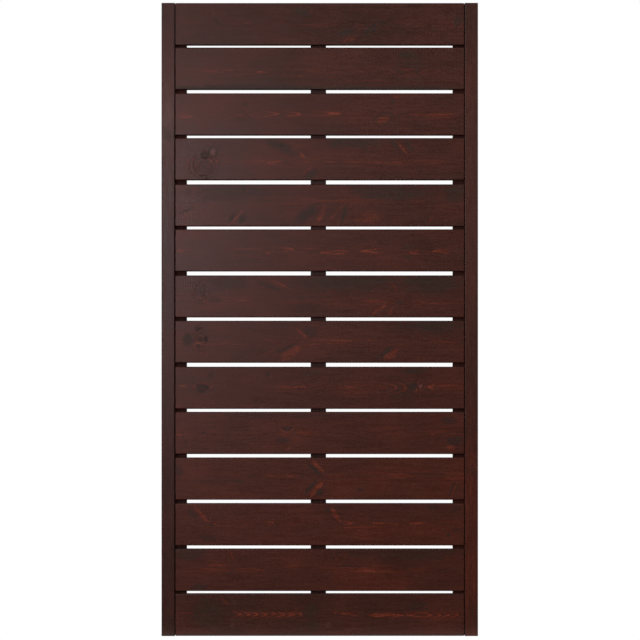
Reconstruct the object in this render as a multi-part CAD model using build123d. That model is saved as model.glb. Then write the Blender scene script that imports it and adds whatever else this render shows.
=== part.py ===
from build123d import *
import os

# Slatted garden privacy panel of stained softwood.
#
# Flat boards lie one above another with narrow light slots between them. Their ends sit in the
# rebates of two upright stiles, so the front shows stiles and boards almost flush and no fixing. An
# upright batten stiffens the middle from behind. Every board is stapled from the back, through the
# stile flanges and through the batten.
#
# Frame: millimetres, +Z up, front face towards -Y. The origin is on the ground, midway between the
# stiles' outer sides and midway through the panel's depth. Boards are numbered from the top, from 1.

# Overall width, and the boards that make up the height
panel_width = 900
board_width = 120
board_thickness = 18
board_radius = 3

# Height of each slot from the top one down, as uneven as they were set by hand
slots = (6.5, 10, 7.5, 11.5, 8, 11, 9, 11, 8.5, 10, 10, 9.5, 7.5)

# Stiles: a wide timber with a rebate on its inner front corner
stile_width = 70
stile_depth = 45
stile_face = 38
stile_radius = 3

# Middle batten, which stands a little to the left of the middle
batten_width = 44
batten_radius = 3
batten_x = -4

# Fits of the boards in the rebates
board_recess = 1
end_gap = 2

# Staples of square wire, two for each board at each upright
staple_crown = 11
staple_wire = 1.5
staple_bite = 14
staple_from_edge = 24

# Worked out from the sizes above
board_count = len(slots) + 1
panel_height = board_count * board_width + sum(slots)
board_length = panel_width - 2 * (stile_face + end_gap)
rebate_depth = board_recess + board_thickness
rebate_width = stile_width - stile_face
flange_thickness = stile_depth - rebate_depth
flange_x = (panel_width - stile_face - stile_width) / 2
front_y = -stile_depth / 2
back_y = stile_depth / 2
seat_y = front_y + rebate_depth


def board_bottom(number):
    """Height of a board's lower edge."""
    return panel_height - number * board_width - sum(slots[: number - 1])


def stile_section():
    """Right-hand stile seen from above: the timber, less the rebate that takes the board ends."""
    outer_x = panel_width / 2
    timber = Pos(outer_x - stile_width / 2, 0) * Rectangle(stile_width, stile_depth)
    rebate = Pos(flange_x, front_y + rebate_depth / 2) * Rectangle(rebate_width, rebate_depth)
    section = timber - rebate
    rebate_corner = (outer_x - stile_face, seat_y, 0)
    _, *arrises = section.vertices().sort_by_distance(rebate_corner)
    return fillet(arrises, stile_radius)


def batten_section():
    """Middle batten seen from above, as thick as the stile flanges and flush with them."""
    middle_y = seat_y + flange_thickness / 2
    return Pos(batten_x, middle_y) * RectangleRounded(batten_width, flange_thickness, batten_radius)


def board(number):
    """One board in its place, its back on the seats and its ends clear by the end gap."""
    section = Plane.YZ * RectangleRounded(board_thickness, board_width, board_radius)
    middle_y = seat_y - board_thickness / 2
    middle_z = board_bottom(number) + board_width / 2
    return Pos(0, middle_y, middle_z) * extrude(section, board_length / 2, both=True)


def staple(x, z):
    """One staple driven from the back, its crown flush and its two legs biting into a board."""
    leg_length = flange_thickness + staple_bite
    outline = Box(staple_crown, leg_length, staple_wire)
    throat = Box(staple_crown - 2 * staple_wire, leg_length, staple_wire)
    return Pos(x, back_y - leg_length / 2, z) * (outline - Pos(0, -staple_wire, 0) * throat)


def staple_row(x):
    """The staples down one upright, near both edges of every board."""
    offsets = (staple_from_edge, board_width - staple_from_edge)
    return [staple(x, board_bottom(n) + up) for n in range(1, board_count + 1) for up in offsets]


def stapled(timber, *rows):
    """A timber with the holes that the staples at its height made in it."""
    box = timber.bounding_box()
    met = [s for row in rows for s in row if box.min.Z < s.center().Z < box.max.Z]
    return timber - met


def build():
    """Every piece of the panel by name, the staples as one group for each upright."""
    left_row = staple_row(-flange_x)
    centre_row = staple_row(batten_x)
    right_row = staple_row(flange_x)
    right_stile = extrude(stile_section(), panel_height)
    left_stile = mirror(right_stile, Plane.YZ)
    pieces = {
        "left_stile": stapled(left_stile, left_row),
        "right_stile": stapled(right_stile, right_row),
        "centre_batten": stapled(extrude(batten_section(), panel_height), centre_row),
        "left_staples": Compound(left_row),
        "centre_staples": Compound(centre_row),
        "right_staples": Compound(right_row),
    }
    for number in range(1, board_count + 1):
        pieces[f"board_{number:02d}"] = stapled(board(number), left_row, centre_row, right_row)
    return pieces


if __name__ == "__main__":
    os.makedirs("parts", exist_ok=True)
    for name, shape in build().items():
        shape.label = name
        export_step(shape, f"parts/{name}.step")
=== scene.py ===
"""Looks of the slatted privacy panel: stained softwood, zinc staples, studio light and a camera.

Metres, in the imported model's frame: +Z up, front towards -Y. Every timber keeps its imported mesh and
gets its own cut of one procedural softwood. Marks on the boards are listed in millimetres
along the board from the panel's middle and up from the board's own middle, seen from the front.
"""
import math
from collections import namedtuple

import bpy
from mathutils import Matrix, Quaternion, Vector


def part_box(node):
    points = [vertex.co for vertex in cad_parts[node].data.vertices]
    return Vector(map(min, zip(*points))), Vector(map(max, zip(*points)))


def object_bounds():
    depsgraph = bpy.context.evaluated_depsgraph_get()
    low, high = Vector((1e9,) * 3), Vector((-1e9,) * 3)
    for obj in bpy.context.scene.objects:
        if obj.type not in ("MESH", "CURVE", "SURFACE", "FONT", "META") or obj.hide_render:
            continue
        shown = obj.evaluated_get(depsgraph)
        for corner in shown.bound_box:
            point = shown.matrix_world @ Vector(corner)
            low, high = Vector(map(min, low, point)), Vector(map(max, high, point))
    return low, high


MM = 0.001

# Camera: square on to the front, a hair to the right of the panel's middle and below it
VIEW_DISTANCE = 5.6
VIEW_WIDTH = 1.8192
VIEW_ASIDE = 0.0007
VIEW_BELOW = 0.0015
SENSOR_WIDTH = 36

# Floor: it ends just in front of the panel, so the boards don't mirror it. Its paint lights the
# panel, and what the camera sees of it glows nearly white.
FLOOR_CORNERS = ((-2.2, -0.08), (2.2, 2.8))
FLOOR_PAINT = (0.7, 0.7, 0.7, 1)
FLOOR_SEEN = (0.15, 0.15, 0.15, 1)
FLOOR_GLOW = 0.9

# World: how bright its front looks in the gloss, and its fill light from below and from above
MIRRORED_FRONT = 0.09
FILL_BELOW = 0.1
FILL_ABOVE = 0.66
WHITE = (1, 1, 1, 1)

# Finish of the stained timber: its roughness and the most that the grain takes off it, the
# roughness of sawn faces, the shine and the fine relief
ROUGHNESS = 0.37
GLOSSIEST = -0.07
SAWN_ROUGHNESS = 0.8
SHINE = 0.25
BUMP_STRENGTH = 0.25
BUMP_DEPTH = 0.0003

# Grain: how square the growth rings are, which points the arches on the face, the planer's pitch and
# how far apart the timbers lie in the noise
RING_CORNER = 1.5
RIPPLE_PITCH = 0.0064
SEED_STEP = 3.7

# Features a metre along and across a timber
FIBRE_SCALE = (55.0, 330.0)
STREAK_SCALE = (11.0, 110.0)
MOTTLE_SCALE = (160.0, 190.0)
PATCH_SCALE = (6.0, 12.0)

# How much each layer of the grain counts for the stain's warmth, its lightness, its roughness and
# the relief
WARMTH_WEIGHTS = {"Patch": 2.4, "Mottle": 0.9}
LIGHT_WEIGHTS = {"Fibre": 0.6, "Streak": 0.6, "Mottle": 0.3, "Ripple": 0.04, "Line": -0.06}
ROUGH_WEIGHTS = {"Fibre": 0.3, "Streak": 0.2, "Mottle": 0.4, "Patch": 0.08, "Ripple": 0.03}
RELIEF_WEIGHTS = {"Line": 0.4, "Fibre": 0.8, "Mottle": 0.6, "Ripple": 0.3}

# How strongly the rings' lines show everywhere, at the heart and round a knot, and how a knot and
# its core cool the stain
FAINT_LINES = 0.22
HEART_LINES = 0.7
KNOT_LINES = 0.6
KNOT_WARMTH = -0.25
CORE_WARMTH = -1.1

# How full the warmth of a mark is, and how much the mottle and the streaks break it up
MARK_FILL = 0.85
MARK_GRAIN = 1.2

# How much the marks count for the pooled stain and painted shade, for the roughness and for the relief
POOLED_AND_SHADE_MARKS = {"rim": 0.55, "core": 0.2, "deep": 1.0, "dark": 1.0}
ROUGH_MARKS = {"rim": 0.15, "core": 0.12, "dark": 0.6}
RELIEF_MARKS = {"rim": -0.8}

# How far the arrises are darkened, by stain pooled there and by painted shade, and the most that any place
# is darkened
ARRIS_POOL_AND_SHADE = 0.8
MOST_POOLED_AND_SHADED = 0.9

# What a patch or tip of depth 1 does to the warmth, how a dark one pools, and the rings at a knot
PATCH_WARMTH = 0.85
TIP_WARMTH = 0.95
DARK_POOL = 0.08
RING_WARMTH = 0.3

# How ragged a mark's outline is, as a share of the mark's own size, and how fine its teeth are along
# the timber, across it and in depth
RAGGEDNESS = 0.8
RAGGED_SCALE = (34.0, 80.0, 80.0)

# Stain colours as sRGB values, from the darkest patches to the reddest grain tips
DARK_STAIN = (46, 27, 16)
BROWN_STAIN = (57, 25, 16)
RED_STAIN = (72, 28, 14)
BRIGHT_STAIN = (98, 39, 21)
WARMTH_RANGE = (-1.0, 2.0)

# Stain pooled round knots and in dark patches, also used for painted shade on the arrises and in the shade
# patches; and pale stain where pitch keeps it out, also used for painted sheen in places
POOLED_STAIN_AND_SHADE = (22, 10, 7)
PALE_STAIN_AND_SHEEN = (92, 62, 54)

# Dull zinc and its dark spots
ZINC = (150, 150, 148)
ZINC_SPOTS = (96, 94, 90)
ZINC_ROUGHNESS = 0.42


def srgb(colour):
    """Linear RGBA of an sRGB colour given from 0 to 255."""
    linear = []
    for value in colour:
        share = value / 255
        linear.append(share / 12.92 if share <= 0.04045 else ((share + 0.055) / 1.055) ** 2.4)
    return (*linear, 1)


class Tree:
    """A shader node tree with short ways to add its nodes. Values may be numbers or sockets."""

    def __init__(self, node_tree):
        self.nodes = node_tree.nodes
        self.links = node_tree.links

    def put(self, socket, value):
        if isinstance(value, bpy.types.NodeSocket):
            self.links.new(value, socket)
        else:
            socket.default_value = value

    def add(self, kind, inputs=(), **settings):
        """A node with its settings made and its inputs filled, by name or place."""
        node = self.nodes.new(kind)
        for name, value in settings.items():
            setattr(node, name, value)
        for key, value in dict(inputs).items():
            self.put(node.inputs[key], value)
        return node

    def math(self, operation, *values):
        inputs = dict(enumerate(values))
        return self.add("ShaderNodeMath", inputs, operation=operation).outputs[0]

    def total(self, *values):
        """The sum of several values."""
        result = values[0]
        for value in values[1:]:
            result = self.math("ADD", result, value)
        return result

    def blend(self, *weighted, start=0.0):
        """A start value plus several values, each times its weight."""
        result = start
        for value, weight in weighted:
            result = self.math("MULTIPLY_ADD", value, weight, result)
        return result

    def layered(self, layers, weights, start=0.0):
        """A start value plus the named layers, each times its weight."""
        return self.blend(*((layers[name], weight) for name, weight in weights.items()), start=start)

    def vector(self, operation, *values):
        inputs = dict(enumerate(values))
        return self.add("ShaderNodeVectorMath", inputs, operation=operation).outputs["Vector"]

    def scaled(self, vector, factor):
        inputs = {"Vector": vector, "Scale": factor}
        return self.add("ShaderNodeVectorMath", inputs, operation="SCALE").outputs["Vector"]

    def length(self, value):
        return self.add("ShaderNodeVectorMath", {0: value}, operation="LENGTH").outputs["Value"]

    def combine(self, x=0.0, y=0.0, z=0.0):
        return self.add("ShaderNodeCombineXYZ", {0: x, 1: y, 2: z}).outputs[0]

    def split(self, value):
        return self.add("ShaderNodeSeparateXYZ", {0: value}).outputs

    def noise(self, vector, scale, detail=2.0, roughness=0.5):
        """Noise around 0, from about -0.5 to 0.5."""
        inputs = {"Vector": vector, "Scale": scale, "Detail": detail, "Roughness": roughness}
        node = self.add("ShaderNodeTexNoise", inputs)
        return self.math("SUBTRACT", node.outputs[0], 0.5)

    def stretched_noise(self, vector, along, across, detail=3.0, roughness=0.6):
        """Noise with so many features a metre along the timber and across it."""
        return self.noise(self.vector("MULTIPLY", vector, (along, across, across)), 1.0, detail, roughness)

    def noise_vector(self, vector, scale, detail=1.0):
        """Three noises around 0 as a vector."""
        inputs = {"Vector": vector, "Scale": scale, "Detail": detail}
        node = self.add("ShaderNodeTexNoise", inputs)
        return self.vector("SUBTRACT", node.outputs[1], (0.5, 0.5, 0.5))

    def smooth(self, value, low, high, to_low=0.0, to_high=1.0):
        """The value taken smoothly from low..high to to_low..to_high."""
        inputs = {0: value, 1: low, 2: high, 3: to_low, 4: to_high}
        return self.add("ShaderNodeMapRange", inputs, interpolation_type="SMOOTHSTEP").outputs[0]

    def mix(self, share, a, b):
        """Colour a turned into colour b by that share."""
        node = self.add("ShaderNodeMix", {0: share, 6: a, 7: b}, data_type="RGBA")
        return node.outputs[2]

    def group(self, tree, **inputs):
        """A node group with its inputs filled by name, underscores standing for spaces."""
        node = self.add("ShaderNodeGroup", node_tree=tree)
        for name, value in inputs.items():
            self.put(node.inputs[name.replace("_", " ").capitalize()], value)
        return node.outputs


def new_group(name, vectors, floats, outputs):
    """An empty node group with those vector inputs, float inputs and float outputs."""
    tree = bpy.data.node_groups.new(name, "ShaderNodeTree")
    for socket in vectors:
        tree.interface.new_socket(socket, in_out="INPUT", socket_type="NodeSocketVector")
    for socket in floats:
        tree.interface.new_socket(socket, in_out="INPUT", socket_type="NodeSocketFloat")
    for socket in outputs:
        tree.interface.new_socket(socket, in_out="OUTPUT", socket_type="NodeSocketFloat")
    t = Tree(tree)
    ends = t.add("NodeGroupInput").outputs, t.add("NodeGroupOutput").inputs
    return tree, t, *ends


def mark_group(name, outputs, extra=()):
    """An empty node group for one kind of mark, with the inputs that place it."""
    sizes = ("Along", "Across", "Long", "Wide", "Turn", *extra)
    return new_group(name, ("Point", "Ragged"), sizes, outputs)


def mark_place(t, given):
    """Place within a mark, in its own half lengths and half widths, with a ragged edge."""
    middle = t.combine(given["Along"], given["Across"], 0.0)
    flat = t.vector("MULTIPLY", t.vector("SUBTRACT", given["Point"], middle), (1, 1, 0))
    turn = {"Vector": flat, "Angle": given["Turn"]}
    turned = t.add("ShaderNodeVectorRotate", turn, rotation_type="Z_AXIS", invert=True).outputs[0]
    place = t.vector("DIVIDE", turned, t.combine(given["Long"], given["Wide"], 1.0))
    return t.vector("ADD", place, given["Ragged"])


def blotch_group():
    """A patch of stain: 1 in its middle, 0 past its edge."""
    tree, t, given, out = mark_group("blotch", ("Mask",), ("Crisp",))
    place = t.vector("ADD", mark_place(t, given), given["Ragged"])
    t.put(out["Mask"], t.smooth(t.length(place), given["Crisp"], 1.1, 1.0, 0.0))
    return tree


def knot_group():
    """A knot: how it swells the rings round it, its core, its dark outline and the rings round it."""
    tree, t, given, out = mark_group("knot", ("Swell", "Core", "Rim", "Rings"))
    swell_falloff = -0.28
    ring_rate = 12.0
    rim_radius = 1.05
    distance = t.length(mark_place(t, given))
    square = t.math("MULTIPLY", distance, distance)
    t.put(out["Swell"], t.math("EXPONENT", t.math("MULTIPLY", square, swell_falloff)))
    inside = t.smooth(distance, 0.7, 1.1, 1.0, 0.0)
    wave_phase = t.math("MULTIPLY", distance, ring_rate)
    wave = t.math("SINE", wave_phase)
    t.put(out["Core"], t.math("MULTIPLY", inside, t.smooth(wave, -1.0, 1.0, 0.45, 1.0)))
    off_rim = t.math("ABSOLUTE", t.math("SUBTRACT", distance, rim_radius))
    broken = t.smooth(t.noise(given["Point"], 45.0), -0.15, 0.08)
    t.put(out["Rim"], t.math("MULTIPLY", t.smooth(off_rim, 0.0, 0.4, 1.0, 0.0), broken))
    around = t.math("SINE", t.math("MULTIPLY_ADD", t.noise(given["Point"], 60.0), 5.0, wave_phase))
    near = t.math("MULTIPLY", t.smooth(distance, 1.3, 2.6, 1.0, 0.0), t.smooth(distance, 0.8, 1.2))
    t.put(out["Rings"], t.math("MULTIPLY", t.math("ADD", around, 0.3), near))
    return tree


def tip_group():
    """The red tip of a growth ring: two thin lines that run together into a bright point."""
    tree, t, given, out = mark_group("tip", ("Mask",))
    away, aside, _ = t.split(mark_place(t, given))
    aside = t.math("ABSOLUTE", aside)
    spread = t.math("POWER", t.math("MAXIMUM", away, 0.0), 0.75)
    off_line = t.math("ABSOLUTE", t.math("SUBTRACT", aside, spread))
    fading = t.smooth(away, 0.3, 1.2, 1.0, 0.0)
    line = t.math("MULTIPLY", t.smooth(off_line, 0.0, 0.4, 1.0, 0.0), fading)
    started = t.smooth(away, -0.12, 0.02)
    from_point = t.length(t.combine(t.math("MULTIPLY", away, 2.2), aside, 0.0))
    both = t.blend((line, 1.0), (t.smooth(from_point, 0.1, 0.7, 1.0, 0.0), 0.35))
    t.put(out["Mask"], t.math("MULTIPLY", both, started))
    return tree


def softwood_group():
    """Growth rings round a wandering pith, fine fibres and broad changes of the stain."""
    sizes = ("Seed", "Pith across", "Pith depth", "Drift", "Ring width", "Wander", "Swell")
    outputs = ("Line", "Heart", "Fibre", "Streak", "Mottle", "Patch", "Ripple")
    tree, t, given, out = new_group("softwood", ("Point",), sizes, outputs)
    apart = t.combine(given["Seed"], given["Seed"], given["Seed"])
    shifted = t.vector("ADD", given["Point"], apart)
    along, across, depth = t.split(given["Point"])

    slow = t.vector("MULTIPLY", shifted, (1.0, 0.0, 0.0))
    wander = t.split(t.noise_vector(slow, 6.0, detail=2.5))
    centre_line = t.math("MULTIPLY_ADD", wander[0], given["Wander"], given["Pith across"])
    drift = t.math("MULTIPLY", along, given["Drift"])
    deep_wander = t.math("MULTIPLY", given["Wander"], 2.0)
    pith = t.total(t.math("MULTIPLY", wander[1], deep_wander), given["Pith depth"], drift)
    off_across = t.math("ABSOLUTE", t.math("SUBTRACT", across, centre_line))
    off_depth = t.math("ABSOLUTE", t.math("SUBTRACT", depth, pith))
    powers = (t.math("POWER", off_across, RING_CORNER), t.math("POWER", off_depth, RING_CORNER))
    radius = t.math("POWER", t.math("ADD", *powers), 1 / RING_CORNER)
    uneven = t.stretched_noise(shifted, 14.0, 110.0)
    rings = t.total(
        t.math("DIVIDE", radius, given["Ring width"]),
        t.math("MULTIPLY", uneven, 0.5),
        given["Swell"],
    )
    phase = t.math("FRACT", rings)
    rise = t.smooth(phase, 0.3, 0.84)
    fall = t.smooth(phase, 0.88, 1.0, 1.0, 0.0)
    broken = t.smooth(t.stretched_noise(shifted, 6.0, 40.0), -0.2, 0.15, 0.1, 1.0)
    strength = t.math("MAXIMUM", broken, t.math("MINIMUM", given["Swell"], 1.0))
    t.put(out["Line"], t.math("MULTIPLY", t.math("MULTIPLY", rise, fall), strength))
    t.put(out["Heart"], t.smooth(off_across, 0.002, 0.022, 1.0, 0.0))

    t.put(out["Fibre"], t.stretched_noise(shifted, *FIBRE_SCALE, detail=4.0))
    t.put(out["Streak"], t.stretched_noise(shifted, *STREAK_SCALE))
    t.put(out["Mottle"], t.stretched_noise(shifted, *MOTTLE_SCALE, detail=4.0, roughness=0.7))
    t.put(out["Patch"], t.stretched_noise(shifted, *PATCH_SCALE, detail=5.0))
    wave = t.math("SINE", t.math("MULTIPLY", along, 2 * math.pi / RIPPLE_PITCH))
    showing = t.smooth(t.stretched_noise(shifted, 4.0, 11.0), -0.08, 0.14)
    t.put(out["Ripple"], t.math("MULTIPLY", wave, showing))
    return tree


def mark(kind, x, z, long, wide, turn=0, **effects):
    """A mark given in millimetres and degrees, and the sums that its outputs add to."""
    place = {
        "along": x * MM,
        "across": z * MM,
        "long": long * MM,
        "wide": wide * MM,
        "turn": math.radians(turn),
    }
    return kind, place, effects


def patch(x, z, long, wide, turn, crisp, **effects):
    """A patch with a soft edge, or a sharper one where it is crisp."""
    kind, place, effects = mark("blotch", x, z, long, wide, turn, **effects)
    return kind, place | {"crisp": crisp}, effects


def dark(x, z, long, wide, turn=0, depth=1.2, crisp=0.3):
    """A patch where the stain lies dark, olive and less glossy."""
    effects = {"warmth": ("Mask", -PATCH_WARMTH * depth), "dark": ("Mask", DARK_POOL * depth)}
    return patch(x, z, long, wide, turn, crisp, **effects)


def red(x, z, long, wide, turn=0, depth=1.0, crisp=0.3):
    """A patch or streak where the stain lies thin and red."""
    return patch(x, z, long, wide, turn, crisp, warmth=("Mask", PATCH_WARMTH * depth))


def pale(x, z, long, wide, turn=0, depth=0.45):
    """A pale, greyer patch, as where pitch kept the stain out; some of them are painted sheen."""
    return patch(x, z, long, wide, turn, 0.2, pale=("Mask", depth))


def deep(x, z, long, wide, turn=0, depth=0.2):
    """A patch of painted shade, darkened towards the pooled colour."""
    return patch(x, z, long, wide, turn, 0.2, deep=("Mask", depth))


def knot(x, z, long, wide, turn=0, swell=1.6):
    """A dark knot, with the rings lifted round it by so many ring widths."""
    kind, place, effects = swirl(x, z, long, wide, turn, swell)
    return kind, place, effects | {"core": ("Core", 1.0), "rim": ("Rim", 1.0)}


def speck(x, z, size=3.5):
    """A pin knot, too small to show rings of its own."""
    effects = {"swell": ("Swell", 0.6), "core": ("Core", 1.3), "rim": ("Rim", 1.0)}
    return mark("knot", x, z, size, size, **effects)


def swirl(x, z, long, wide, turn=0, swell=2.0, outline=0.35):
    """Rings that swell round a knot just under the surface, with dark outlines between them."""
    effects = {
        "swell": ("Swell", swell),
        "rim": ("Rim", 0.5),
        "warmth": ("Rings", RING_WARMTH),
        "dark": ("Rings", -outline),
    }
    return mark("knot", x, z, long, wide, turn, **effects)


def tip(x, z, long, wide, to_right=True, depth=1.5):
    """A ring's red tip at that place, with its two lines opening to the right or to the left."""
    turn = 0 if to_right else 180
    return mark("tip", x, z, long, wide, turn, warmth=("Mask", TIP_WARMTH * depth))


def tips(x, z, long, wide, count, step, depth=1.5):
    """Tips in a row, one within another, that point to the right."""
    return [tip(x + n * step, z, long, wide, to_right=False, depth=depth) for n in range(count)]


def timber_point(t, middle, upright):
    """Object coordinates as along, across and depth, from the middle of the timber's front face."""
    place = t.add("ShaderNodeTexCoord").outputs["Object"]
    x, y, z = t.split(t.vector("SUBTRACT", place, middle))
    if upright:
        return t.combine(z, x, y)
    return t.combine(x, z, y)


def marked(t, point, marks, groups):
    """What the listed marks add up to at each point."""
    noise = t.noise_vector(t.vector("MULTIPLY", point, RAGGED_SCALE), 1.0, detail=4.0)
    ragged = t.vector("MULTIPLY", noise, (RAGGEDNESS, RAGGEDNESS, 0))
    sums = dict.fromkeys(("warmth", "swell", "core", "rim", "pale", "deep", "dark"), 0.0)
    for kind, place, effects in marks:
        outputs = t.group(groups[kind], point=point, ragged=ragged, **place)
        for target, (output, strength) in effects.items():
            sums[target] = t.math("MULTIPLY_ADD", outputs[output], strength, sums[target])
    sums["dark"] = t.math("MAXIMUM", sums["dark"], 0.0)
    return sums


def arris_share(t):
    """1 on the rounded long edges, where stain gathers and shade is painted, and 0 on the flats."""
    normal = t.vector("ABSOLUTE", t.add("ShaderNodeNewGeometry").outputs["Normal"])
    x, y, z = t.split(normal)
    flatness = t.math("MAXIMUM", t.math("MAXIMUM", x, y), z)
    return t.smooth(flatness, 0.78, 0.99, 1.0, 0.0)


def sawn_share(t, point):
    """1 on edges, ends, rebates and backs, which the saw left rougher than the planed front."""
    normal = t.vector("ABSOLUTE", t.add("ShaderNodeNewGeometry").outputs["Normal"])
    turned_away = t.smooth(t.split(normal)[1], 0.3, 0.8, 1.0, 0.0)
    behind = t.smooth(t.split(point)[2], 0.004, 0.010)
    return t.math("MAXIMUM", turned_away, behind)


def stain_colour(t, warmth):
    """The stain's colour, from dark grey-brown to bright red."""
    low, high = WARMTH_RANGE
    share = t.add("ShaderNodeMapRange", {0: warmth, 1: low, 2: high}).outputs[0]
    ramp = t.add("ShaderNodeValToRGB", {0: share})
    stops = ((low, DARK_STAIN), (0.0, BROWN_STAIN), (1.0, RED_STAIN), (high, BRIGHT_STAIN))
    elements = ramp.color_ramp.elements
    while len(elements) < len(stops):
        elements.new(0.5)
    for element, (place, colour) in zip(elements, stops):
        element.position = (place - low) / (high - low)
        element.color = srgb(colour)
    return ramp.outputs[0]


def empty_material(name):
    """A material with nothing in its node tree, and that tree."""
    material = bpy.data.materials.new(name)
    material.use_nodes = True
    material.node_tree.nodes.clear()
    return material, Tree(material.node_tree)


def wood_colour(t, wood, sums, tone):
    """Colour of the stained wood from its grain, its marks and the timber's tone, with painted shade on
    the arrises and painted sheen and shade in some marks.
    """
    near_knot = t.math("MINIMUM", sums["swell"], 1.0)
    showing = t.total(FAINT_LINES, t.blend((wood["Heart"], HEART_LINES), (near_knot, KNOT_LINES)))
    broken_up = t.blend((wood["Mottle"], MARK_GRAIN), (wood["Streak"], MARK_GRAIN))
    grained = t.total(MARK_FILL, broken_up)
    warmth = t.blend(
        (t.math("MULTIPLY", sums["warmth"], grained), 1.0),
        (t.math("MULTIPLY", wood["Line"], showing), 1.0),
        (near_knot, KNOT_WARMTH),
        (sums["core"], CORE_WARMTH),
        start=t.layered(wood, WARMTH_WEIGHTS),
    )
    light = t.math("ADD", t.layered(wood, LIGHT_WEIGHTS), 1.0)
    colour = t.scaled(stain_colour(t, t.math("ADD", warmth, tone)), light)
    # Pale patches turn the colour greyer: pitch, and in places painted sheen
    colour = t.mix(sums["pale"], colour, srgb(PALE_STAIN_AND_SHEEN))
    # Painted shade on the arrises and in the shade patches, and stain pooled round knots and in dark
    # patches, darken the colour
    shade = t.math("MULTIPLY_ADD", arris_share(t), ARRIS_POOL_AND_SHADE, t.layered(sums, POOLED_AND_SHADE_MARKS))
    return t.mix(t.math("MINIMUM", shade, MOST_POOLED_AND_SHADED), colour, srgb(POOLED_STAIN_AND_SHADE))


def wood_roughness(t, wood, sums, point):
    """Roughness of the planed front, and of what the saw left rougher."""
    uneven = t.math("MAXIMUM", t.layered(wood, ROUGH_WEIGHTS), GLOSSIEST)
    uneven = t.layered(sums, ROUGH_MARKS, start=uneven)
    sawn = sawn_share(t, point)
    planed = t.math("MULTIPLY", t.math("ADD", uneven, ROUGHNESS), t.math("SUBTRACT", 1.0, sawn))
    return t.math("MULTIPLY_ADD", sawn, SAWN_ROUGHNESS, planed)


def wood_relief(t, wood, sums):
    """Fine relief of the grain, with the knots' outlines sunk in."""
    height = t.layered(sums, RELIEF_MARKS, start=t.layered(wood, RELIEF_WEIGHTS))
    bump = {"Height": height, "Strength": BUMP_STRENGTH, "Distance": BUMP_DEPTH}
    return t.add("ShaderNodeBump", bump).outputs[0]


def wood_material(name, middle, seed, timber, upright, groups):
    """Stained softwood for one timber, from its cut, tone and marks."""
    cut = timber.cut
    material, t = empty_material(name)
    point = timber_point(t, middle, upright)
    sums = marked(t, point, timber.marks, groups)
    wood = t.group(
        groups["softwood"],
        point=point,
        seed=seed,
        pith_across=cut.across * MM,
        pith_depth=cut.behind * MM,
        drift=cut.drift,
        ring_width=cut.rings * MM,
        wander=cut.wander * MM,
        swell=sums["swell"],
    )
    finish = {
        "Base Color": wood_colour(t, wood, sums, timber.tone),
        "Roughness": wood_roughness(t, wood, sums, point),
        "Specular IOR Level": SHINE,
        "Normal": wood_relief(t, wood, sums),
    }
    shader = t.add("ShaderNodeBsdfPrincipled", finish)
    t.add("ShaderNodeOutputMaterial", {"Surface": shader.outputs[0]})
    return material


def zinc_material():
    """Dull zinc of the staples, with fine drawing marks and dark spots."""
    material, t = empty_material("staple_zinc")
    place = t.add("ShaderNodeTexCoord").outputs["Object"]
    spots = t.noise(place, 900.0, detail=3.0)
    drawn = t.noise(t.vector("MULTIPLY", place, (300.0, 2500.0, 2500.0)), 1.0)
    colour = t.mix(t.smooth(spots, 0.0, 0.25), srgb(ZINC), srgb(ZINC_SPOTS))
    bump = t.add("ShaderNodeBump", {"Height": drawn, "Strength": 0.3, "Distance": 0.0001})
    finish = {
        "Base Color": colour,
        "Metallic": 1.0,
        "Roughness": t.math("MULTIPLY_ADD", spots, 0.3, ZINC_ROUGHNESS),
        "Normal": bump.outputs[0],
    }
    shader = t.add("ShaderNodeBsdfPrincipled", finish)
    t.add("ShaderNodeOutputMaterial", {"Surface": shader.outputs[0]})
    return material


# A timber's cut is the pith's place across its face and behind it, the pith's drift along it, the
# width of the rings and how far the pith wanders. All but the drift are in millimetres.
Cut = namedtuple("Cut", "across behind drift rings wander")
Timber = namedtuple("Timber", "cut tone marks")

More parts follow.
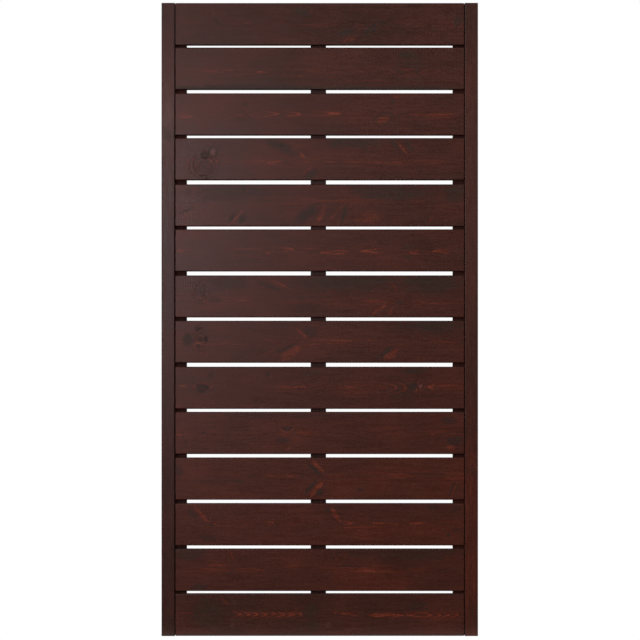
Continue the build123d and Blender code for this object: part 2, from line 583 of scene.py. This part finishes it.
# The boards from the top one down
BOARDS = (
    Timber(
        cut=Cut(across=-4, behind=38, drift=0.02, rings=5, wander=8),
        tone=-0.1,
        marks=(
            # Painted shade over the whole top board
            deep(0, 0, 560, 110, depth=0.2),
            speck(-312, 30),
            speck(-296, 12),
            speck(-289, 5),
            red(-204, 4, 15, 3),
            red(-104, 4, 17, 4),
            dark(-50, 34, 37, 16, turn=-20),
            red(-27, 34, 10, 4),
            dark(-13, -23, 10, 5, depth=0.9),
            dark(76, 34, 17, 2, turn=90, depth=1.6),
            red(41, 6, 20, 3),
            red(86, -43, 26, 8, turn=20, depth=1.6, crisp=0.6),
            dark(75, -22, 27, 9, turn=15, crisp=0.5),
            red(112, -10, 22, 14, depth=0.6),
            knot(152, -11, 10, 9),
            dark(133, -25, 13, 8, crisp=0.5),
            dark(178, 3, 14, 7),
            red(274, -5, 12, 3),
            red(345, -5, 12, 3),
            knot(392, 7, 9, 8),
            red(392, 7, 4, 3, depth=2.0),
        ),
    ),
    Timber(
        cut=Cut(across=-10, behind=52, drift=0.03, rings=4.5, wander=6),
        tone=-0.1,
        marks=(
            tip(-240, -5, 160, 5, to_right=False),
            tip(-181, -9, 70, 5),
            red(-101, -16, 11, 4),
            red(-56, -23, 11, 4),
            red(32, -24, 17, 4, depth=1.3),
            red(137, -34, 82, 2, turn=1, depth=1.3),
            dark(246, 40, 34, 13),
            swirl(250, -6, 26, 16, swell=1),
            red(223, -16, 9, 4),
            red(268, -14, 9, 4),
            dark(-211, -55, 215, 10, depth=1.9, crisp=0.7),
            dark(200, -55, 215, 7, depth=1.2, crisp=0.7),
        ),
    ),
    Timber(
        cut=Cut(across=-2, behind=34, drift=-0.02, rings=5, wander=7),
        tone=0.1,
        marks=(
            tip(-363, -5, 45, 10, to_right=False),
            tip(-382, -5, 30, 5, to_right=False),
            swirl(-227, 0, 12, 11, swell=1, outline=0.6),
            dark(-212, 28, 12, 9),
            *tips(-118, 0, 55, 9, count=2, step=62),
            tip(55, 2, 90, 8, to_right=False, depth=1.8),
            red(38, 2, 18, 3, depth=1.3),
            red(183, -15, 21, 11, turn=20, crisp=0.6),
            swirl(183, -15, 22, 13, turn=20, swell=1, outline=0.6),
            dark(163, -6, 15, 4, turn=45, crisp=0.5),
            dark(203, -1, 13, 4, turn=-30, crisp=0.5),
            dark(209, 33, 8, 12),
            red(215, 50, 10, 5),
            red(345, 0, 66, 2.5, depth=1.2),
            red(345, -9, 66, 2, depth=0.9),
        ),
    ),
    Timber(
        cut=Cut(across=-8, behind=30, drift=0.03, rings=5, wander=9),
        tone=0.0,
        marks=(
            knot(-326, 11, 10, 9, swell=2),
            swirl(-303, 20, 9, 14, swell=0, outline=0.5),
            # Painted sheen on the knot
            pale(-303, 20, 8, 13),
            dark(-291, 22, 16, 4, turn=80, depth=1.5),
            dark(-314, 24, 14, 3, turn=75, depth=1.5),
            swirl(-329, -20, 22, 18, swell=3, outline=0.55),
            swirl(-329, -20, 11, 8, swell=0, outline=0.5),
            dark(-329, -20, 8, 6),
            dark(-345, -2, 26, 4, turn=35, depth=1.4),
            red(-312, 45, 14, 6),
            speck(-322, -54, 4),
            dark(-113, 38, 62, 16, turn=-26, depth=1.3, crisp=0.4),
            speck(-107, 39),
            red(-49, 10, 11, 6, turn=-40, depth=1.8, crisp=0.6),
            tip(-147, -11, 55, 7),
            dark(-27, -46, 28, 12, turn=35, crisp=0.5),
            red(-38, -34, 26, 2.5, turn=35, depth=1.5),
            dark(95, 50, 92, 24, crisp=0.4),
            dark(212, 42, 20, 8, turn=-50, crisp=0.5),
            red(236, 29, 28, 5, turn=-50, depth=1.5, crisp=0.6),
            dark(254, 38, 24, 7, turn=-50, crisp=0.5),
            red(140, -9, 125, 3, depth=1.1),
            red(217, -9, 20, 3, depth=1.2),
            red(325, -12, 42, 2.5, depth=1.1),
        ),
    ),
    Timber(
        cut=Cut(across=12, behind=46, drift=0.01, rings=6, wander=7),
        tone=0.1,
        marks=(
            dark(-250, 36, 155, 30, depth=0.8, crisp=0.4),
            red(-357, 37, 10, 20, depth=0.8),
            dark(-380, -14, 28, 3, turn=25, depth=2.4),
            red(-378, -28, 26, 7, turn=25, depth=0.8),
            dark(-216, 43, 13, 3, turn=90, depth=2.4),
            red(-208, 43, 4, 12),
            red(-235, -32, 29, 4, turn=50, depth=1.4, crisp=0.6),
            dark(-219, -38, 17, 12, turn=60, depth=1.8),
            dark(-250, -34, 20, 8, turn=50, depth=1.8),
            red(-90, -20, 12, 4),
            dark(-39, -26, 46, 17, turn=45, depth=1.7),
            red(4, -26, 31, 9, turn=65, depth=1.6, crisp=0.6),
            red(47, -20, 37, 4, turn=48, depth=1.4),
            dark(69, -26, 27, 5, turn=75, depth=2.2, crisp=0.5),
            red(138, -35, 42, 19, depth=0.9, crisp=0.5),
            dark(200, 40, 135, 32, crisp=0.4),
            dark(385, 34, 36, 36, crisp=0.4),
            red(314, -43, 16, 5, turn=60, depth=1.3),
        ),
    ),
    Timber(
        cut=Cut(across=-5, behind=36, drift=0.02, rings=5, wander=8),
        tone=0.1,
        marks=(
            red(-395, -2, 14, 5, depth=1.6, crisp=0.6),
            red(-202, 5, 52, 2.5, depth=1.2),
            red(-207, -16, 77, 2.5, turn=-5, depth=1.2),
            red(-147, -9, 10, 5, depth=1.4),
            swirl(-104, -20, 8, 7, swell=1, outline=0.6),
            tip(-79, 2, 40, 9, to_right=False),
            red(-30, 6, 26, 2.5),
            tip(12, -6, 90, 8, depth=1.8),
            tip(121, -2, 70, 8, depth=1.8),
            tip(257, -6, 36, 8, depth=1.6),
            dark(250, 8, 28, 4, turn=15),
            dark(252, -20, 24, 4, turn=-15),
            tip(326, -2, 50, 8, depth=2.0),
        ),
    ),
    Timber(
        cut=Cut(across=-14, behind=44, drift=-0.015, rings=6, wander=7),
        tone=0.1,
        marks=(
            swirl(-340, 15, 12, 18, swell=1.2),
            dark(-340, 16, 7, 15, turn=20, depth=1.1),
            red(-363, 22, 22, 4, turn=-55, depth=0.9),
            dark(-300, -10, 28, 9, depth=0.8),
            dark(-258, 40, 68, 28, depth=0.9, crisp=0.4),
            red(-218, -11, 27, 3, depth=1.2),
            red(-113, 35, 42, 4, turn=-25, depth=1.2, crisp=0.5),
            dark(-150, 32, 42, 8, turn=-22, crisp=0.5),
            dark(-53, -7, 6, 8),
            dark(75, 42, 150, 32, crisp=0.4),
            dark(325, 40, 95, 40, crisp=0.4),
            red(200, -27, 210, 24, depth=0.55),
            red(157, 42, 15, 3, turn=-50, depth=1.2),
            red(208, 33, 27, 3, turn=-52, depth=1.5, crisp=0.5),
            red(167, -38, 31, 5, turn=35, depth=1.3, crisp=0.5),
            red(200, -45, 14, 6, turn=55, depth=1.1),
            dark(226, -18, 12, 10, crisp=0.5),
            red(229, -8, 10, 3, depth=1.4),
            red(103, -7, 18, 3),
        ),
    ),
    Timber(
        cut=Cut(across=0, behind=40, drift=0.025, rings=5, wander=8),
        tone=0.15,
        marks=(
            dark(-374, 8, 20, 22, depth=1.9),
            swirl(-338, 6, 13, 22, swell=0, outline=0.4),
            speck(-346, 37, 7),
            speck(-340, 6, 7),
            speck(-323, 8, 6),
            speck(-346, -11, 6),
            red(-385, 22, 24, 3),
            red(-338, -33, 15, 4, turn=60, depth=0.9),
            dark(-85, -12, 42, 4, turn=28, depth=1.6, crisp=0.5),
            red(-152, -33, 34, 3, turn=24, depth=1.2),
            dark(-115, -25, 7, 7, depth=1.5),
            red(-84, -34, 38, 14, turn=32, depth=1.25, crisp=0.7),
            red(-54, 26, 29, 5, turn=-45, depth=1.4, crisp=0.6),
            dark(-27, 28, 22, 20, crisp=0.5),
            red(-152, 8, 12, 3),
            red(80, 4, 105, 3),
            red(152, 4, 32, 3, depth=0.8),
            dark(188, -28, 29, 9, turn=35, depth=1.4, crisp=0.5),
            red(202, -39, 27, 11, turn=35, depth=1.25, crisp=0.7),
            speck(230, 44, 4),
            speck(236, 3, 4),
            red(362, 0, 20, 3),
            dark(330, 46, 88, 26, crisp=0.4),
        ),
    ),
    Timber(
        cut=Cut(across=1, behind=32, drift=0.02, rings=5, wander=7),
        tone=0.3,
        marks=(
            knot(-309, 37, 7, 6, swell=1.5),
            knot(-335, -1, 15, 10),
            dark(-335, -1, 24, 17, depth=0.6),
            red(-388, 7, 20, 3, depth=1.4),
            speck(-149, 39, 5),
            red(-46, 3, 27, 4, depth=1.5),
            red(-100, 6, 20, 3, depth=0.7),
            dark(-20, 42, 40, 10, depth=0.7),
            red(140, 0, 190, 32, depth=0.35),
            swirl(244, 2, 24, 18, swell=2),
            knot(266, 3, 11, 8),
            pale(286, 5, 7, 6, depth=0.7),
            tip(308, 3, 24, 9, depth=1.8),
            red(365, 8, 36, 2.5),
            dark(269, 48, 40, 9, crisp=0.5),
        ),
    ),
    Timber(
        cut=Cut(across=4, behind=48, drift=-0.02, rings=6, wander=6),
        tone=0.4,
        marks=(
            dark(-386, -16, 30, 1.5, turn=-73, depth=1.4),
            red(-400, -6, 10, 4),
            speck(-331, 0),
            knot(-92, 13, 10, 7),
            swirl(-120, -6, 12, 6, swell=0.8),
            dark(-106, -20, 30, 10),
            red(-90, -45, 13, 5, turn=20),
            knot(385, -20, 18, 12),
            dark(365, 35, 32, 14),
            red(320, -2, 22, 4),
            red(372, -42, 14, 10, depth=1.3, crisp=0.6),
            dark(-60, 50, 340, 8, depth=0.6),
        ),
    ),
    Timber(
        cut=Cut(across=8, behind=42, drift=0.02, rings=6, wander=7),
        tone=0.6,
        marks=(
            dark(-349, 40, 14, 2, turn=90, depth=2.0),
            dark(-402, 20, 15, 30),
            dark(-290, -5, 100, 16, depth=0.7),
            red(-115, 9, 60, 3, depth=0.9),
            red(-150, 9, 22, 3, depth=0.7),
            red(-5, 35, 27, 6, turn=-47, depth=1.5, crisp=0.7),
            dark(-15, 26, 28, 5, turn=-42, depth=1.9, crisp=0.6),
            red(-8, -28, 33, 8, turn=52, depth=1.5, crisp=0.7),
            dark(-25, -22, 33, 5, turn=50, depth=1.9, crisp=0.6),
            dark(-1, -38, 13, 12, depth=1.7, crisp=0.5),
            dark(115, -32, 14, 6, depth=1.3),
            dark(320, 14, 82, 1.8, depth=1.8, crisp=0.5),
            dark(376, -28, 26, 3, turn=65, depth=1.7, crisp=0.5),
            dark(391, -24, 24, 3, turn=65, depth=1.5),
            red(383, -28, 24, 3, turn=65),
        ),
    ),
    Timber(
        cut=Cut(across=0, behind=30, drift=0.025, rings=5, wander=8),
        tone=0.4,
        marks=(
            red(-335, 28, 33, 6, turn=-48, depth=1.4, crisp=0.7),
            dark(-361, 30, 18, 12, turn=-48, depth=1.2),
            dark(-309, -2, 10, 5, depth=1.4),
            red(-357, 2, 18, 3),
            tip(-302, 2, 24, 6),
            dark(-260, 2, 40, 2, depth=1.2),
            red(-198, 2, 22, 3, depth=1.2),
            tip(-133, 4, 28, 6, to_right=False, depth=2.0),
            dark(-318, -38, 27, 16, depth=0.8),
            red(44, 30, 27, 7, turn=-55, depth=1.6, crisp=0.7),
            dark(25, 42, 12, 9, depth=1.0),
            dark(60, 50, 22, 6, depth=0.9),
            tip(92, 4, 24, 6, to_right=False, depth=2.0),
            red(190, -20, 160, 26, depth=0.4, crisp=0.6),
            red(166, 3, 23, 4, depth=1.8),
            red(273, 3, 26, 4, depth=1.8),
            dark(322, 50, 32, 8, depth=0.9),
            dark(386, 44, 22, 12, depth=0.8),
            dark(390, -14, 18, 9, depth=0.7),
            red(385, 10, 22, 3),
            speck(365, -31, 5),
        ),
    ),
    Timber(
        cut=Cut(across=0, behind=50, drift=0.01, rings=6, wander=6),
        tone=0.35,
        marks=(
            dark(-370, 52, 66, 27, crisp=0.4),
            red(-248, 37, 17, 4, turn=-58, depth=1.6),
            dark(-250, -6, 20, 3, turn=55, depth=1.5),
            red(-286, 13, 38, 3),
            red(-67, 13, 40, 3),
            dark(81, 12, 50, 1.8, depth=1.5),
            red(190, 12, 60, 3, depth=0.7),
            dark(36, 38, 17, 3, turn=-60, depth=1.5),
            red(45, 36, 17, 3, turn=-60, depth=1.2),
            red(150, -32, 125, 36, depth=0.55, crisp=0.8),
            dark(-346, -46, 32, 10, crisp=0.5),
            dark(220, 52, 190, 24, depth=0.8, crisp=0.6),
        ),
    ),
    Timber(
        cut=Cut(across=0, behind=28, drift=0.03, rings=5, wander=9),
        tone=-0.05,
        marks=(
            dark(-318, 12, 50, 52, depth=0.7, crisp=0.4),
            red(-382, 5, 26, 3, depth=1.2),
            dark(-352, 2, 10, 8),
            red(-270, 38, 18, 4, turn=-50, depth=1.6, crisp=0.6),
            red(-264, -14, 26, 5, turn=75, depth=0.8),
            pale(-244, 36, 12, 10, depth=0.15),
            pale(-249, -28, 9, 18, depth=0.15),
            red(-150, 1, 96, 7, depth=0.6),
            *tips(-225, 1, 30, 9, count=8, step=25, depth=1.9),
            dark(-27, 12, 27, 26, depth=0.8, crisp=0.4),
            dark(-18, -28, 23, 17, depth=0.7, crisp=0.4),
            pale(24, -30, 16, 13, depth=0.2),
            red(44, 6, 7, 5, depth=1.5),
            tip(62, 4, 60, 6, depth=1.8),
            red(186, -1, 46, 5, depth=2.2, crisp=0.6),
            tip(138, -1, 60, 8, depth=1.8),
            tip(236, -1, 60, 8, to_right=False, depth=1.8),
            tip(252, 0, 62, 8, depth=1.8),
            *tips(318, 0, 30, 9, count=4, step=25, depth=1.9),
            dark(280, 27, 26, 19, depth=0.9, crisp=0.5),
            speck(304, 16),
        ),
    ),
)

# Stiles and batten, marks measured up from the timber's middle and across it
UPRIGHTS = {
    "left_stile": Timber(
        cut=Cut(across=24, behind=60, drift=0.01, rings=5, wander=6),
        tone=-0.1,
        marks=(
            # Painted shade in the first three patches along the stile, and painted sheen in the broad pale
            # one
            deep(-600, 0, 620, 90, depth=0.3),
            deep(200, 0, 330, 90, depth=0.4),
            deep(860, 0, 160, 90, depth=0.25),
            pale(575, 0, 130, 90, depth=0.12),
            pale(590, -14, 44, 22, depth=0.15),
            dark(525, -14, 22, 22),
        ),
    ),
    "right_stile": Timber(
        cut=Cut(across=-26, behind=64, drift=0.012, rings=5, wander=6),
        tone=-0.05,
        marks=(
            # Painted sheen on the upper half and painted shade at the top
            pale(380, 0, 620, 90, depth=0.12),
            deep(850, 0, 120, 90, depth=0.15),
            dark(-830, 20, 34, 1.5, depth=2.2),
            red(-640, 0, 400, 80, depth=1.1),
        ),
    ),
    "centre_batten": Timber(
        cut=Cut(across=6, behind=52, drift=0.01, rings=4, wander=5),
        tone=-0.1,
        marks=(),
    ),
}


def middle_of_front(node):
    """The middle of a node's front face."""
    low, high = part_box(node)
    return Vector(((low.x + high.x) / 2, low.y, (low.z + high.z) / 2))


def dress_timbers(nodes):
    """Gives each timber its own cut of the softwood."""
    groups = {
        "softwood": softwood_group(),
        "knot": knot_group(),
        "blotch": blotch_group(),
        "tip": tip_group(),
    }
    timbers = {f"board_{number:02d}": board for number, board in enumerate(BOARDS, start=1)}
    timbers.update(UPRIGHTS)
    for index, (name, timber) in enumerate(timbers.items(), start=1):
        seed = SEED_STEP * index
        middle = middle_of_front(name)
        material = wood_material(f"stained_{name}", middle, seed, timber, name in UPRIGHTS, groups)
        give(nodes[name], material)


def give(piece, material):
    """Makes that the piece's only material."""
    piece.data.materials.clear()
    piece.data.materials.append(material)


def is_seen(t):
    """1 for camera, glossy and transmission rays, which see the white background."""
    rays = t.add("ShaderNodeLightPath").outputs
    seen = t.math("MAXIMUM", rays["Is Camera Ray"], rays["Is Glossy Ray"])
    return t.math("MAXIMUM", seen, rays["Is Transmission Ray"])


def make_floor():
    """A plain pale floor under and behind the panel, white to the eye but for the panel's shadow."""
    low, high = Vector(FLOOR_CORNERS[0]), Vector(FLOOR_CORNERS[1])
    corners = ((low.x, low.y, 0), (high.x, low.y, 0), (high.x, high.y, 0), (low.x, high.y, 0))
    mesh = bpy.data.meshes.new("floor")
    mesh.from_pydata(corners, (), ((0, 1, 2, 3),))
    floor = bpy.data.objects.new("floor", mesh)
    bpy.context.collection.objects.link(floor)
    material, t = empty_material("pale_floor")
    pale_paint = t.add("ShaderNodeBsdfDiffuse", {"Color": FLOOR_PAINT})
    shadowed = t.add("ShaderNodeBsdfDiffuse", {"Color": FLOOR_SEEN})
    glow = t.add("ShaderNodeEmission", {"Color": WHITE, "Strength": FLOOR_GLOW})
    seen = t.add("ShaderNodeAddShader", {0: shadowed.outputs[0], 1: glow.outputs[0]})
    choice = {0: is_seen(t), 1: pale_paint.outputs[0], 2: seen.outputs[0]}
    surface = t.add("ShaderNodeMixShader", choice)
    t.add("ShaderNodeOutputMaterial", {"Surface": surface.outputs[0]})
    mesh.materials.append(material)


def make_world():
    """Soft studio fill, with a white background behind the panel."""
    world = bpy.data.worlds.new("studio")
    bpy.context.scene.world = world
    world.use_nodes = True
    world.node_tree.nodes.clear()
    t = Tree(world.node_tree)
    rays = t.add("ShaderNodeLightPath").outputs
    direction = t.split(t.add("ShaderNodeTexCoord").outputs["Generated"])
    backdrop = t.smooth(direction[1], 0.2, 0.7, MIRRORED_FRONT, 1.0)
    mirrored = t.math("MAXIMUM", rays["Is Glossy Ray"], rays["Is Transmission Ray"])
    from_above = t.smooth(direction[2], -0.6, 0.6, FILL_BELOW, FILL_ABOVE)
    fill = t.math("MULTIPLY", t.math("SUBTRACT", 1.0, mirrored), from_above)
    strength = t.math("MULTIPLY_ADD", backdrop, mirrored, fill)
    strength = t.math("MAXIMUM", strength, rays["Is Camera Ray"])
    background = t.add("ShaderNodeBackground", {"Color": WHITE, "Strength": strength})
    t.add("ShaderNodeOutputWorld", {"Surface": background.outputs[0]})


def make_softbox(name, place, target, size, power, colour=(1, 1, 1), roll=0):
    """A rectangular lamp at a place, turned to a target and rolled about its own beam."""
    lamp = bpy.data.lights.new(name, "AREA")
    lamp.shape = "RECTANGLE"
    lamp.size, lamp.size_y = size
    lamp.energy = power
    lamp.color = colour
    softbox = bpy.data.objects.new(name, lamp)
    bpy.context.collection.objects.link(softbox)
    softbox.location = place
    aim = (Vector(target) - Vector(place)).to_track_quat("-Z", "Y")
    softbox.rotation_euler = (aim @ Quaternion((0, 0, 1), math.radians(roll))).to_euler()


def make_lights():
    """A slanted strip lamp, whose soft sheen lies on the panel's left, and a lamp on each side."""
    make_softbox(
        "sheen_lamp",
        place=(-1.3, -4.0, 1.26),
        target=(-0.3, 0, 1.1),
        size=(1.6, 0.4),
        power=44,
        colour=(1, 0.85, 0.91),
        roll=47,
    )
    for side in (-1, 1):
        make_softbox(
            f"side_lamp_{side}",
            place=(side * 2.4, -2.4, 3.3),
            target=(0, 0, 0.9),
            size=(1.2, 1.6),
            power=62,
        )


def make_camera(low, high):
    """The camera square on to the panel's front, framed as in the photograph."""
    camera = bpy.data.cameras.new("camera")
    camera.sensor_width = SENSOR_WIDTH
    camera.lens = SENSOR_WIDTH * VIEW_DISTANCE / VIEW_WIDTH
    view = bpy.data.objects.new("camera", camera)
    bpy.context.collection.objects.link(view)
    middle_z = (low.z + high.z) / 2
    view.location = (VIEW_ASIDE, low.y - VIEW_DISTANCE, middle_z - VIEW_BELOW)
    view.rotation_euler = (math.pi / 2, 0, 0)
    bpy.context.scene.camera = view


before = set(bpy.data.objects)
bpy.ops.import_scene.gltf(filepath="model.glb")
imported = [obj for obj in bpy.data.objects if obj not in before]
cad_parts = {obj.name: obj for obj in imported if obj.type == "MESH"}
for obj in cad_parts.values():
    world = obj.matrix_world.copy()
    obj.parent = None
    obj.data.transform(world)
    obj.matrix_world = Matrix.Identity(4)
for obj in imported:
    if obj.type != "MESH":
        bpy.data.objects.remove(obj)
cad_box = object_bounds()
dress_timbers(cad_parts)
zinc = zinc_material()
for name in ("left_staples", "centre_staples", "right_staples"):
    give(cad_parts[name], zinc)
make_floor()
make_world()
make_lights()
make_camera(*cad_box)
bpy.context.scene.view_settings.view_transform = "Standard"
